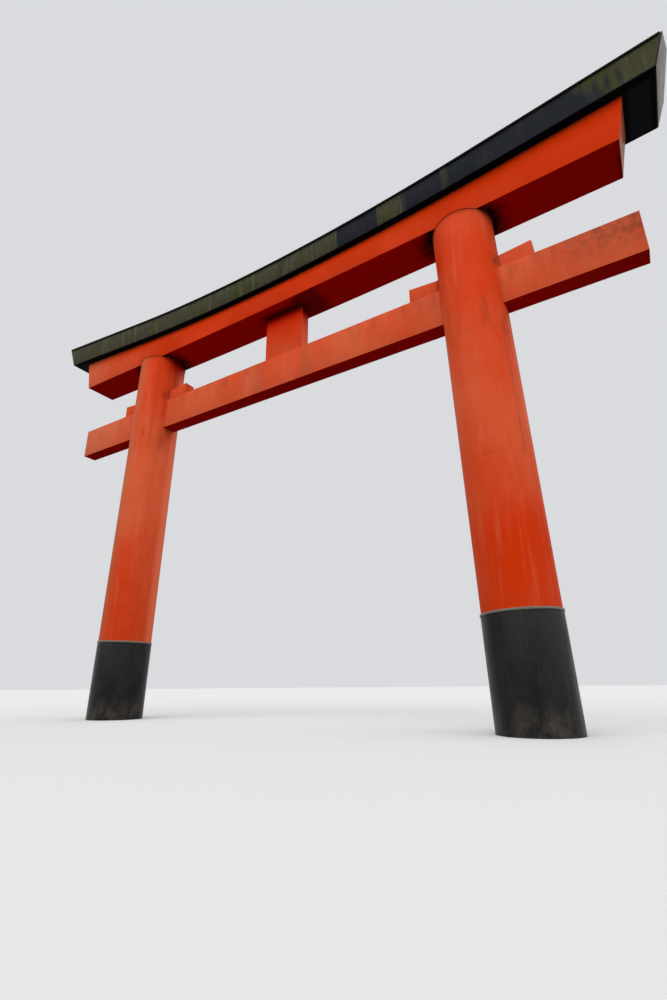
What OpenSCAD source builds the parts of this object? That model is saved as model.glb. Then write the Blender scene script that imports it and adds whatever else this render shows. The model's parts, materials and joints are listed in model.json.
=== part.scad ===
// Large painted torii gate. Two round posts lean in to a lintel, a tie beam runs through them and is
// wedged in its mortises, and a black cap beam with a sheet roof curves up to raked ends.
// Millimetres, +Z up, +X along the gate, -Y toward the viewer. The origin is the middle of the left
// post's foot, at the ground. The shapes are written about the middle of the gate and moved there.

/* [Posts] */
// Distance between the centres of the two posts at the ground
post_spacing = 10590; // [9000:10:12000]
// Diameter of each round post
post_diameter = 1348; // [1100:2:1600]
// How far each post leans in, in mm for every metre of height
post_lean = 28; // [0:1:45]

/* [Foot bands] */
// Height of the black band round each foot, its rim included
band_height = 1932; // [1200:1:2600]
// Thickness of the band's plate
band_thickness = 14; // [6:1:30]
// Height of the raised rim at the top of the band
rim_height = 42; // [20:1:90]
// Thickness of the rim, measured out from the post
rim_thickness = 26; // [16:1:50]

/* [Tie beam] */
// Height of the tie beam's underside above the ground
tie_underside = 8140; // [7200:5:8600]
// Height of the tie beam itself
tie_height = 925; // [700:5:1100]
// Depth of the tie beam, front to back
tie_depth = 405; // [300:5:600]
// Length of the tie beam from end to end
tie_length = 16640; // [15600:10:17600]

/* [Wedges] */
// Depth of each wedge, front to back
wedge_depth = 320; // [200:5:380]
// Height of a wedge at its free end
wedge_free_height = 392; // [330:2:460]
// Height of a wedge where it enters the post
wedge_post_height = 330; // [240:2:360]
// How far a wedge stands out from the post
wedge_reach = 700; // [450:5:900]
// How far a wedge runs into the post
wedge_tail = 200; // [120:5:260]

/* [Centre strut] */
// Width of the strut between the tie beam and the lintel
strut_width = 1210; // [800:5:1500]
// Depth of the strut, front to back
strut_depth = 275; // [240:5:400]

/* [Lintel] */
// Height of the lintel's underside at the middle of the gate
lintel_underside = 10510; // [10000:10:11200]
// Height of the lintel itself at the middle of the gate
lintel_height = 655; // [500:5:800]
// Depth of the lintel, front to back
lintel_depth = 966; // [800:2:1150]
// Length of the lintel along its underside
lintel_under_length = 16556; // [16000:4:17200]
// Angle of the lintel's raked ends from upright, in degrees
lintel_end_rake = 12.1; // [0:0.1:20]
// Radius of the lintel's underside
lintel_under_radius = 244000; // [180000:1000:400000]

/* [Cap beam] */
// Where the curves run out into straight ends, measured from the middle; the splices are here too
splice_distance = 5600; // [5000:10:6400]
// Radius of the cap beam's underside
cap_under_radius = 61200; // [52000:100:80000]
// Radius of the ridge
ridge_radius = 51200; // [44000:100:62000]
// Height of the cap beam's side at the middle of the gate
side_height = 589; // [480:1:700]
// Width of the cap beam across its eaves at the middle of the gate
eave_width = 1384; // [1300:2:1600]
// How far each side leans out, in mm for every metre of height
side_slant = 94; // [0:1:150]
// Rise of the roof from the eaves to the ridge at the middle of the gate
roof_rise = 400; // [250:2:520]
// Length of the cap beam along its underside
under_length = 18220; // [17600:5:18800]
// Angle of the cap beam's raked ends from upright, in degrees
cap_end_rake = 18.3; // [0:0.1:28]

/* [Roof sheets] */
// Thickness of the roof sheets and of their folded lips
sheet_thickness = 12; // [6:1:20]
// How far the sheets stand out past the cap beam's sides
eave_overhang = 30; // [22:1:60]
// How far the folded lip hangs below the eave line
eave_lip = 34; // [22:1:70]
// How far the sheets stop short of the cap beam's ends
sheet_setback = 45; // [20:5:200]
// Width of the folded strip along the ridge
ridge_strip_width = 280; // [160:5:400]
// Thickness of the ridge strip
ridge_strip_thickness = 9; // [5:1:16]

/* [End plates] */
// Thickness of the plate that closes each end of the cap beam
end_plate_thickness = 24; // [12:1:50]

/* [Fits] */
// Gap left between pieces that bear on one another
seat_gap = 0.3; // [0.1:0.05:1]

/* [Hidden] */
post_radius = post_diameter / 2;
half_spacing = post_spacing / 2;
lean_angle = atan(post_lean / 1000);
tie_top = tie_underside + tie_height;
wedge_slope = (wedge_free_height - wedge_post_height) / wedge_reach;
// Half the width of a leaning post where a level plane cuts it
post_reach = post_radius / cos(lean_angle);
// Height of the wedges' slot above the tie beam, with the lean of the post over that height
slot_height = wedge_post_height * (1 + wedge_slope * post_lean / 1000) + 2 * seat_gap;
lintel_top = lintel_underside + lintel_height;
eave_height = lintel_top + side_height;
ridge_height = eave_height + roof_rise;
eave_half = eave_width / 2;
roof_angle = atan(roof_rise / eave_half);
// Thicknesses and gaps of the sloping sheets, measured straight up
sheet_lift = seat_gap / cos(roof_angle);
sheet_upright = sheet_thickness / cos(roof_angle);
strip_lift = 2 * sheet_lift + sheet_upright;
strip_upright = ridge_strip_thickness / cos(roof_angle);
round_fn = 96;
// Straight steps in which the long curves are drawn
curve_steps = 32;
middle_half = splice_distance - seat_gap;
middle_stations = [for (i = [0:curve_steps]) middle_half * (2 * i / curve_steps - 1)];
end_stations = [splice_distance, under_length / 2 + side_height + roof_rise];
// Reach of the shapes that cut, which only have to be larger than what they cut
reach = 3 * post_diameter;

// Rise of an arc of radius r at the distance x from the middle
function arc_rise(r, x) = r - sqrt(r * r - x * x);
// Rise of a long line: an arc as far as the splice, then straight on
function rise(r, x) = abs(x) <= splice_distance ? arc_rise(r, x)
    : arc_rise(r, splice_distance) + (abs(x) - splice_distance) * tan(asin(splice_distance / r));
function under_line(x) = lintel_underside + rise(lintel_under_radius, x);
function top_line(x) = lintel_top + rise(cap_under_radius, x);
function ridge_line(x) = ridge_height + rise(ridge_radius, x);
// Middle of a post at the height z, measured out from the middle of the gate
function post_middle(z) = half_spacing - z * post_lean / 1000;
// Raked planes that end the lintel and the cap beam, measured out from the middle at the height z
function lintel_end_at(z) = lintel_under_length / 2
    + (z - under_line(lintel_under_length / 2)) * tan(lintel_end_rake);
function cap_end_at(z) = under_length / 2 + (z - top_line(under_length / 2)) * tan(cap_end_rake);
// Distance of the cap beam's inclined side from the middle plane at the height z
function side_at(z) = eave_half + (z - eave_height) * side_slant / 1000;

// Moves a shape from the middle of the gate to its place beside the left post
module placed() {
    translate([half_spacing, 0, 0]) children();
}

// Turns a shape of the right half into one of the left half
module on_side(side) {
    if (side < 0) {
        mirror([1, 0, 0]) children();
    } else {
        children();
    }
}

// A slab of the given depth whose outline is drawn along the gate and upward
module slab(depth) {
    translate([0, depth / 2, 0]) rotate([90, 0, 0]) linear_extrude(height = depth) children();
}

// A bar along the right post's axis, starting at the height low measured on the axis
module post_bar(radius, low, high) {
    translate([half_spacing, 0, 0])
        rotate([0, -lean_angle, 0])
            translate([0, 0, low])
                cylinder(r = radius, h = high - low, $fn = round_fn);
}

// Everything above the ground
module above_ground() {
    translate([-2 * post_spacing, -reach / 2, 0]) cube([4 * post_spacing, reach, ridge_height]);
}

// Outline of everything below the lintel's underside, from the left splice to past the right one
module below_lintel() {
    beyond = lintel_under_length / 2;
    polygon(concat(
        [[-middle_half, 0]],
        [for (x = middle_stations) [x, under_line(x) - seat_gap]],
        [[beyond, under_line(beyond) - seat_gap], [beyond, 0]]));
}

// Round post with a flat foot, a top that follows the lintel, and its mortise
module post(side) {
    on_side(side) {
        difference() {
            intersection() {
                post_bar(post_radius, -post_radius, lintel_top);
                slab(reach) below_lintel();
            }
            translate([post_middle(tie_top) - reach / 2, -tie_depth / 2 - seat_gap, tie_underside - seat_gap])
                cube([reach, tie_depth + 2 * seat_gap, tie_height + 2 * seat_gap]);
            translate([post_middle(tie_top) - reach / 2, -wedge_depth / 2 - seat_gap, tie_top])
                cube([reach, wedge_depth + 2 * seat_gap, slot_height]);
        }
    }
}

// Plate sleeve round the foot of a post
module foot_band(side) {
    on_side(side) {
        intersection() {
            difference() {
                post_bar(post_radius + seat_gap + band_thickness, -post_radius, band_height - rim_height);
                post_bar(post_radius + seat_gap, -post_diameter, band_height);
            }
            above_ground();
        }
    }
}

// Raised hoop that closes the top of the sleeve
module band_rim(side) {
    on_side(side) {
        difference() {
            post_bar(post_radius + seat_gap + rim_thickness, band_height - rim_height + seat_gap, band_height);
            post_bar(post_radius + seat_gap, band_height - 2 * rim_height, band_height + rim_height);
        }
    }
}

// Tie beam between the middles of the posts
module tie_middle() {
    half = post_middle(tie_underside) - seat_gap;
    translate([-half, -tie_depth / 2, tie_underside]) cube([2 * half, tie_depth, tie_height]);
}

// Tie beam from the middle of a post to its outer end
module tie_outer(side) {
    start = post_middle(tie_underside) + seat_gap;
    on_side(side) {
        translate([start, -tie_depth / 2, tie_underside])
            cube([tie_length / 2 - start, tie_depth, tie_height]);
    }
}

// Wedge on the tie beam; way is 1 for the outer side of the post and -1 for the inner side
module wedge(side, way) {
    face = post_middle(tie_top) + way * post_reach;
    base = tie_top + seat_gap;
    tail_height = wedge_post_height - wedge_slope * wedge_tail;
    on_side(side) {
        slab(wedge_depth)
            polygon([
                [face - way * wedge_tail, base],
                [face + way * wedge_reach, base],
                [face + way * wedge_reach, tie_top + wedge_free_height],
                [face - way * wedge_tail, tie_top + tail_height]]);
    }
}

// Board standing on the tie beam under the middle of the lintel
module strut() {
    intersection() {
        translate([-strut_width / 2, -strut_depth / 2, tie_top + seat_gap])
            cube([strut_width, strut_depth, lintel_top - tie_top]);
        slab(reach) below_lintel();
    }
}

// Lintel between the splices, curved below and above
module lintel_between() {
    slab(lintel_depth)
        polygon(concat(
            [for (x = middle_stations) [x, under_line(x)]],
            [for (i = [curve_steps:-1:0]) [middle_stations[i], top_line(middle_stations[i])]]));
}

// Straight end of the lintel with its raked end face
module lintel_end(side) {
    low = lintel_underside - lintel_height;
    high = ridge_height + roof_rise;
    far = lintel_end_at(high) + lintel_height;
    on_side(side) {
        slab(lintel_depth)
            intersection() {
                polygon([
                    [splice_distance, under_line(splice_distance)],
                    [far, under_line(far)],
                    [far, top_line(far)],
                    [splice_distance, top_line(splice_distance)]]);
                polygon([
                    [0, low],
                    [lintel_end_at(low), low],
                    [lintel_end_at(high), high],
                    [0, high]]);
            }
    }
}

// Everything above the underside of the cap beam, along the given stations
module above_soffit(stations) {
    count = len(stations);
    slab(reach)
        polygon(concat(
            [for (x = stations) [x, top_line(x) + seat_gap]],
            [[stations[count - 1], ridge_height + reach], [stations[0], ridge_height + reach]]));
}

// Everything below the front slope of the roof, raised straight up by lift
module below_front_slope(stations, lift) {
    count = len(stations);
    floor_level = (lintel_underside - reach) * cos(roof_angle);
    rotate([90 + roof_angle, 0, 0])
        translate([0, 0, -ridge_height * sin(roof_angle) - reach / 2])
            linear_extrude(height = reach)
                polygon(concat(
                    [for (x = stations) [x, (ridge_line(x) + lift) * cos(roof_angle)]],
                    [[stations[count - 1], floor_level], [stations[0], floor_level]]));
}

// Everything below both slopes of the roof
module below_roof(stations, lift) {
    intersection() {
        below_front_slope(stations, lift);
        mirror([0, 1, 0]) below_front_slope(stations, lift);
    }
}

// Everything between the inclined sides, widened by extra on each side
module between_sides(extra) {
    low = lintel_underside;
    high = ridge_height + reach;
    translate([-1.5 * under_length, 0, 0])
        rotate([90, 0, 90])
            linear_extrude(height = 3 * under_length)
                polygon([
                    [-side_at(low) - extra, low],
                    [side_at(low) + extra, low],
                    [side_at(high) + extra, high],
                    [-side_at(high) - extra, high]]);
}

// Everything from the splice to a raked plane that stands back from the end of the cap beam
module inside_end(back) {
    low = lintel_underside;
    high = ridge_height + reach;
    slab(2 * reach)
        polygon([
            [0, low],
            [cap_end_at(low) - back, low],
            [cap_end_at(high) - back, high],
            [0, high]]);
}

// Cap beam along the given stations: five faces, with the long ones following the curves
module cap_beam(stations) {
    intersection() {
        above_soffit(stations);
        below_roof(stations, 0);
        between_sides(0);
    }
}

// Straight end of the cap beam, as far as its end plate
module cap_outer(side) {
    on_side(side) {
        intersection() {
            cap_beam(end_stations);
            inside_end(end_plate_thickness + seat_gap);
        }
    }
}

// Plate that closes the raked end of the cap beam
module end_plate(side) {
    on_side(side) {
        difference() {
            intersection() {
                cap_beam(end_stations);
                inside_end(0);
            }
            inside_end(end_plate_thickness);
        }
    }
}

// Sheet on the front slope, with its folded lip hanging clear of the side
module front_sheet(stations) {
    low = lintel_underside;
    difference() {
        intersection() {
            below_front_slope(stations, sheet_lift + sheet_upright);
            between_sides(eave_overhang);
            translate([-1.5 * under_length, -reach, low]) cube([3 * under_length, reach - seat_gap, reach]);
        }
        intersection() {
            below_front_slope(stations, sheet_lift);
            between_sides(eave_overhang - sheet_thickness);
        }
        below_front_slope(stations, -eave_lip);
    }
}

// Folded strip along the ridge, lying on both sheets
module ridge_strip(stations) {
    difference() {
        intersection() {
            below_roof(stations, strip_lift + strip_upright);
            translate([-1.5 * under_length, -ridge_strip_width / 2, lintel_underside])
                cube([3 * under_length, ridge_strip_width, reach]);
        }
        below_roof(stations, strip_lift);
    }
}

// A sheet or strip of the straight end, stopping short of the end of the cap beam
module set_back(side) {
    on_side(side) {
        intersection() {
            children();
            inside_end(sheet_setback);
        }
    }
}

module left_post() {
    color("orangered") placed() post(-1);
}

module right_post() {
    color("orangered") placed() post(1);
}

module left_foot_band() {
    color("black") placed() foot_band(-1);
}

module right_foot_band() {
    color("black") placed() foot_band(1);
}

module left_band_rim() {
    color("dimgray") placed() band_rim(-1);
}

module right_band_rim() {
    color("dimgray") placed() band_rim(1);
}

module tie_beam_left() {
    color("orangered") placed() tie_outer(-1);
}

module tie_beam_middle() {
    color("orangered") placed() tie_middle();
}

module tie_beam_right() {
    color("orangered") placed() tie_outer(1);
}

module left_outer_wedge() {
    color("orangered") placed() wedge(-1, 1);
}

module left_inner_wedge() {
    color("orangered") placed() wedge(-1, -1);
}

module right_inner_wedge() {
    color("orangered") placed() wedge(1, -1);
}

module right_outer_wedge() {
    color("orangered") placed() wedge(1, 1);
}

module centre_strut() {
    color("orangered") placed() strut();
}

module lintel_left() {
    color("orangered") placed() lintel_end(-1);
}

module lintel_middle() {
    color("orangered") placed() lintel_between();
}

module lintel_right() {
    color("orangered") placed() lintel_end(1);
}

module cap_beam_left() {
    color("darkslategray") placed() cap_outer(-1);
}

module cap_beam_middle() {
    color("darkslategray") placed() cap_beam(middle_stations);
}

module cap_beam_right() {
    color("darkslategray") placed() cap_outer(1);
}

module left_end_plate() {
    color("gray") placed() end_plate(-1);
}

module right_end_plate() {
    color("gray") placed() end_plate(1);
}

module front_roof_left() {
    color("black") placed() set_back(-1) front_sheet(end_stations);
}

module front_roof_middle() {
    color("black") placed() front_sheet(middle_stations);
}

module front_roof_right() {
    color("black") placed() set_back(1) front_sheet(end_stations);
}

module back_roof_left() {
    color("black") mirror([0, 1, 0]) placed() set_back(-1) front_sheet(end_stations);
}

module back_roof_middle() {
    color("black") mirror([0, 1, 0]) placed() front_sheet(middle_stations);
}

module back_roof_right() {
    color("black") mirror([0, 1, 0]) placed() set_back(1) front_sheet(end_stations);
}

module ridge_strip_left() {
    color("black") placed() set_back(-1) ridge_strip(end_stations);
}

module ridge_strip_middle() {
    color("black") placed() ridge_strip(middle_stations);
}

module ridge_strip_right() {
    color("black") placed() set_back(1) ridge_strip(end_stations);
}

left_post();
right_post();
left_foot_band();
right_foot_band();
left_band_rim();
right_band_rim();
tie_beam_left();
tie_beam_middle();
tie_beam_right();
left_outer_wedge();
left_inner_wedge();
right_inner_wedge();
right_outer_wedge();
centre_strut();
lintel_left();
lintel_middle();
lintel_right();
cap_beam_left();
cap_beam_middle();
cap_beam_right();
left_end_plate();
right_end_plate();
front_roof_left();
front_roof_middle();
front_roof_right();
back_roof_left();
back_roof_middle();
back_roof_right();
ridge_strip_left();
ridge_strip_middle();
ridge_strip_right();
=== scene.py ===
# %% [markdown]
# # A torii gate over a road
# Two round posts lean in to a lintel, a tie beam runs through them and is wedged in its mortises, and
# a black cap beam with a sheet roof curves up to raked ends. The CAD model already has these shapes,
# in metres, so this script adds what steel and paint do to them: rounded edges, welds, laps and
# weather. It also sets up the camera, the floor and the light.

# %% Load the CAD model
import bpy
import json
import math
from mathutils import Matrix, Vector


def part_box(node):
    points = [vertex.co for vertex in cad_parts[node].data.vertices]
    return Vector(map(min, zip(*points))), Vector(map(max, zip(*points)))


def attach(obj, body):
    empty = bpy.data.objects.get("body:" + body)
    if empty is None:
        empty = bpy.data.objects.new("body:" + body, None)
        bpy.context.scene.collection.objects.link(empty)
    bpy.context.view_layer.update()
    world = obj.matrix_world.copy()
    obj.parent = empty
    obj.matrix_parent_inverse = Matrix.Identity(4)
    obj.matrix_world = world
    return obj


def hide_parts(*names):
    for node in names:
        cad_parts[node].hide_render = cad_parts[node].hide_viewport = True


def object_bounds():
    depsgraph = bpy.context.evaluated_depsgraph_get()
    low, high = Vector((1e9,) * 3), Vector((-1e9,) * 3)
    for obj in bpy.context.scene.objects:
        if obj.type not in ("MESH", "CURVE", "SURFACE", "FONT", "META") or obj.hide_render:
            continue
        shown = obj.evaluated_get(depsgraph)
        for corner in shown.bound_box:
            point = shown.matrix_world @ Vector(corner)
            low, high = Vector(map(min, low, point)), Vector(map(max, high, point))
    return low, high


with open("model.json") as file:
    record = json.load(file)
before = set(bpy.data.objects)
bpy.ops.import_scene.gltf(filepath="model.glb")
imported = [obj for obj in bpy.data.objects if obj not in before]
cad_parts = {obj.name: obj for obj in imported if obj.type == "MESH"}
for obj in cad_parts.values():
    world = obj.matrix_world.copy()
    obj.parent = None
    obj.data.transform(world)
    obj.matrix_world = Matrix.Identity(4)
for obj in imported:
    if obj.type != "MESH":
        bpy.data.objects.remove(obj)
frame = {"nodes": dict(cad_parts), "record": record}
cad_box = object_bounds()
gate_size = cad_box[1] - cad_box[0]
print("CAD pieces", len(frame["nodes"]), "size", [round(side, 3) for side in gate_size])

# %% [markdown]
# ## The camera
# The eye is low, close to the right post, and looks up and to the left with a wide lens, which makes
# the right end of the cap beam loom. The place and the three turns were worked out from the outlines
# in the photograph. The turns are written in the order in which a tripod is set: round, up, and tilt.

# %% Camera
EYE = Vector((12.588, -9.459, 0.75))
PAN = math.radians(31.691)
LOOK_UP = math.radians(19.699)
TILT = math.radians(-0.443)
FOCAL_LENGTH = 18.764
SENSOR_WIDTH = 36.0
lens = bpy.data.cameras.new("Roadside view")
lens.lens = FOCAL_LENGTH
lens.sensor_width = SENSOR_WIDTH
camera = bpy.data.objects.new("Roadside view", lens)
bpy.context.scene.collection.objects.link(camera)
pan = Matrix.Rotation(PAN, 4, "Z")
look_up = Matrix.Rotation(math.pi / 2 + LOOK_UP, 4, "X")
tilt = Matrix.Rotation(TILT, 4, "Z")
camera.matrix_world = Matrix.Translation(EYE) @ pan @ look_up @ tilt
bpy.context.scene.camera = camera
print("camera at", tuple(EYE), "lens", lens.lens)

# %% [markdown]
# ## Measures that the finishes and the added pieces share
# Most places are read from the boxes of the CAD pieces, so they can't disagree with the model. The
# lean of the posts and the radii of the long curves aren't in a box, so they are written down here.
# Each long curve is an arc as far as the splice, and then runs on straight.

# %% Measures of the gate, in metres
POST_RADIUS = 0.674
# How far a post leans in for each metre of height
POST_LEAN = 0.028
SPLICE = 5.6
# Radii of the lintel's underside, the cap beam's underside and the ridge
LINTEL_CURVE = 244.0
CAP_CURVE = 61.2
RIDGE_CURVE = 51.2
lintel_low, lintel_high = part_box("lintel_middle")
tie_low, tie_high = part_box("tie_beam_middle")
strut_low, strut_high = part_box("centre_strut")
POST_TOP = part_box("right_post")[1].z
GATE_MIDDLE = (lintel_low.x + lintel_high.x) / 2
# From the middle of the gate to the axis of a post at the ground
HALF_SPACING = 5.295
STRUT_HALF = (strut_high.x - strut_low.x) / 2
TIE_HEIGHT = (tie_low.z + tie_high.z) / 2
# Heights at the middle of the gate
LINTEL_TOP = 11.165
RIDGE_HEIGHT = 12.154
SIDES = ((-1, "left"), (1, "right"))


def rise(radius, out):
    """How far a long curve has risen at this distance from the middle of the gate."""
    bend = min(out, SPLICE)
    return bend * bend / (2 * radius) + max(out - SPLICE, 0) * SPLICE / radius


print("middle of the gate", round(GATE_MIDDLE, 3), "underside at", round(lintel_low.z, 3))

# %% [markdown]
# ## Making materials from nodes
# Every finish below is a small graph of nodes. Writing `nodes.new` and `links.new` for each of them
# hides the idea, so short helpers do that work: one adds a node and wires its inputs, one does sums,
# two lay colours over each other by masks, and others make soft masks from a noise or from a place.
# A socket knows the graph that it belongs to, so the helpers needn't be told where to add their nodes.

# %% Helpers that add and wire nodes
def wire(value, socket):
    """Links another node's output to this socket, or sets a plain number or colour on it."""
    if isinstance(value, bpy.types.NodeSocket):
        socket.id_data.links.new(value, socket)
    else:
        socket.default_value = value


def add(graph, kind, inputs=None, **settings):
    """Adds a node to a graph, with its settings and its inputs."""
    made = graph.nodes.new(kind)
    for name, value in settings.items():
        setattr(made, name, value)
    for name, value in (inputs or {}).items():
        wire(value, made.inputs[name])
    return made


def graph_of(*values):
    """The graph of the first of these values that is a socket and not a plain number."""
    return next(value.id_data for value in values if isinstance(value, bpy.types.NodeSocket))


def maths(operation, *values):
    """A sum of numbers and other nodes' outputs."""
    made = add(graph_of(*values), "ShaderNodeMath", operation=operation)
    for index, value in enumerate(values):
        wire(value, made.inputs[index])
    return made.outputs[0]


# %% Helpers that lay colours over each other
def mixed(mask, below, above):
    """The colour below, covered by the colour above where the mask is 1."""
    mix = add(graph_of(mask), "ShaderNodeMix", data_type="RGBA")
    wire(mask, mix.inputs[0])
    for index, colour in ((6, below), (7, above)):
        wire((*colour, 1.0) if isinstance(colour, tuple) else colour, mix.inputs[index])
    return mix.outputs[2]


def layered(colour, *coats):
    """The colour under more coats, each a mask and a colour, laid on in this order."""
    for mask, coat in coats:
        colour = mixed(mask, colour, coat)
    return colour


# %% Helpers that make masks
def noise(place, stretch, detail=4, offset=(0, 0, 0)):
    """Noise with this many blotches to the metre along x, y and z."""
    graph = graph_of(place)
    spread = add(graph, "ShaderNodeMapping", {"Vector": place, "Scale": stretch, "Location": offset})
    blotches = add(graph, "ShaderNodeTexNoise", {
        "Vector": spread.outputs["Vector"], "Scale": 1.0, "Detail": detail, "Roughness": 0.6})
    return blotches.outputs["Fac"]


def step(value, low, high, start=0, end=1):
    """Goes smoothly from start to end while the value goes from low to high."""
    return add(graph_of(value), "ShaderNodeMapRange", {
        "Value": value, "From Min": low, "From Max": high, "To Min": start, "To Max": end},
        interpolation_type="SMOOTHSTEP").outputs["Result"]


def product(*masks):
    """The masks multiplied together."""
    result = masks[0]
    for mask in masks[1:]:
        result = maths("MULTIPLY", result, mask)
    return result


def either(*masks):
    """The largest of the masks."""
    result = masks[0]
    for mask in masks[1:]:
        result = maths("MAXIMUM", result, mask)
    return result


def between(value, low, high, soft):
    """1 where the value lies between low and high, with soft borders."""
    rising = step(value, low - soft, low + soft)
    falling = step(value, high - soft, high + soft, 1, 0)
    return product(rising, falling)


def faces_down(ways):
    """1 on undersides."""
    return step(ways["Z"], -0.75, -0.45, 1, 0)


# %% Helpers that start and end a finish
def new_finish(name):
    """A material, the object's own coordinates, whole and by axis, and the way the surface faces."""
    finish = bpy.data.materials.new(name)
    finish.use_nodes = True
    graph = finish.node_tree
    place = add(graph, "ShaderNodeTexCoord").outputs["Object"]
    axes = add(graph, "ShaderNodeSeparateXYZ", {"Vector": place}).outputs
    facing = add(graph, "ShaderNodeNewGeometry").outputs["Normal"]
    ways = add(graph, "ShaderNodeSeparateXYZ", {"Vector": facing}).outputs
    return finish, place, axes, ways


def finish_surface(finish, colour, rough, height, depth, gloss):
    """Wires colour, roughness and bump into the shader; depth is the relief in metres."""
    graph = finish.node_tree
    bump = add(graph, "ShaderNodeBump", {"Height": height, "Distance": depth, "Strength": 1.0})
    sockets = graph.nodes["Principled BSDF"].inputs
    wire(colour, sockets["Base Color"])
    wire(rough, sockets["Roughness"])
    wire(bump.outputs["Normal"], sockets["Normal"])
    sockets["Specular IOR Level"].default_value = gloss
    return finish


# %% Helpers that measure places on the gate
def along_gate(axes):
    """Distance from the middle of the gate, less than 0 on the left."""
    return maths("SUBTRACT", axes["X"], GATE_MIDDLE)


def from_middle(axes):
    """Distance from the middle of the gate, the same on both sides."""
    return maths("ABSOLUTE", along_gate(axes))


def off_post(axes):
    """Distance along the gate from the nearer post's axis, less than 0 on its inner side."""
    lean = maths("MULTIPLY", axes["Z"], POST_LEAN)
    return maths("SUBTRACT", maths("ADD", from_middle(axes), lean), HALF_SPACING)


def post_reach(axes):
    """Distance from the nearer post's axis, whichever way it is."""
    across = off_post(axes)
    squares = maths("MULTIPLY_ADD", across, across, maths("MULTIPLY", axes["Y"], axes["Y"]))
    return maths("SQRT", squares)


def below_cap(axes):
    """Distance below the cap beam's curved underside."""
    out = from_middle(axes)
    bend = maths("MINIMUM", out, SPLICE)
    arc = maths("DIVIDE", maths("MULTIPLY", bend, bend), 2 * CAP_CURVE)
    past = maths("MAXIMUM", maths("SUBTRACT", out, SPLICE), 0)
    line = maths("ADD", arc, maths("MULTIPLY", past, SPLICE / CAP_CURVE))
    return maths("SUBTRACT", maths("ADD", line, LINTEL_TOP), axes["Z"])


print("node helpers ready")

# %% [markdown]
# ## Vermilion paint
# Fresh vermilion is almost a pure orange-red. Rain and sun chalk it to salmon, first in patches and
# then all over, and water that runs down the steel leaves pale and dark streaks. The streaks are noise
# that is squeezed along x and y and left long along z. The undersides never see the sky, so they keep
# a deep, unfaded red, darkened further as painted shade. One function lays these coats, and it is told
# where and how far the paint has faded, so each member of the gate can have its own weather.

# %% Coats of vermilion
FRESH_VERMILION = (0.53, 0.029, 0.001)
FADED_VERMILION = (0.575, 0.108, 0.043)
# Deep unfaded red of the undersides, darkened as painted shade; also the painted shade on posts and strut
DEEP_VERMILION_AND_SHADE = (0.46, 0.003, 0.001)
# Run-off dirt, which also stands as painted shadow along the lintel's top and at the tie beam's end
RUN_OFF_AND_SHADE = (0.17, 0.04, 0.018)
PALE_DUST = (0.6, 0.17, 0.09)


def vermilion_coats(place, ways, fading, streaking):
    """Fresh paint, fading patches, pale and dark streaks, and deep red undersides, partly painted shade.
    """
    patches = noise(place, (0.5, 0.5, 0.35), 5)
    faded = step(maths("ADD", patches, fading), 0.55, 1.35)
    streaks = noise(place, (6, 6, 0.5), 6)
    pale = product(step(streaks, 0.5, 0.8), 0.45 * streaking)
    fine_streaks = noise(place, (26, 26, 1.1), 3, (5, 2, 0))
    dark = product(step(fine_streaks, 0.52, 0.85), 0.45 * streaking)
    specks = noise(place, (70, 70, 55), 2, (9, 0, 3))
    specked = step(specks, 0.7, 0.78, 0, 0.35)
    under = faces_down(ways)
    colour = layered(
        FRESH_VERMILION, (faded, FADED_VERMILION), (pale, PALE_DUST), (dark, RUN_OFF_AND_SHADE), (specked, RUN_OFF_AND_SHADE),
        (under, DEEP_VERMILION_AND_SHADE))
    return colour, streaks, under


# %% Sheen and relief of the paint
# Relief of the painted plate, in metres
PAINT_RELIEF = 0.003
# How strongly paint throws the sky back when it is seen straight on: sheltered, and washed by rain
PAINT_GLOSS = 0.016
WASHED_GLOSS = 0.13


def paint_sheen(streaks, under):
    """Roughness: duller where the streaks have chalked the paint, and dull all over underneath."""
    return either(step(streaks, 0.3, 0.8, 0.4, 0.58), product(under, 0.95))


def brushed_surface(finish, place, colour, rough, gloss=PAINT_GLOSS, seams=0):
    """Ends a finish in brushed paint over plate that is never quite flat, with any weld seams on top."""
    grain = noise(place, (110, 110, 70), 2)
    waves = noise(place, (1.1, 1.1, 1.1), 2)
    skin = maths("MULTIPLY_ADD", grain, 0.06, waves)
    relief = maths("MULTIPLY_ADD", seams, 0.5, skin)
    return finish_surface(finish, colour, rough, relief, PAINT_RELIEF, gloss)


print("vermilion coats ready")

# %% [markdown]
# ## The lintel
# The cap beam shelters the lintel, so its faces are the brightest on the gate, and a painted highlight
# brightens the front just under the cap beam. Only the left end has faded. Underneath, soot where
# neither rain nor brush reaches and painted shade darken it close to the posts and the strut, and a
# thin line of painted shadow runs along the top. The raked ends stand out in the weather: they are
# chalked and washed glossy, so they get a finish of their own.

# %% Soot and painted shade under the lintel
# Half the length of the lintel's underside
LINTEL_HALF = 8.278


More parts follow.
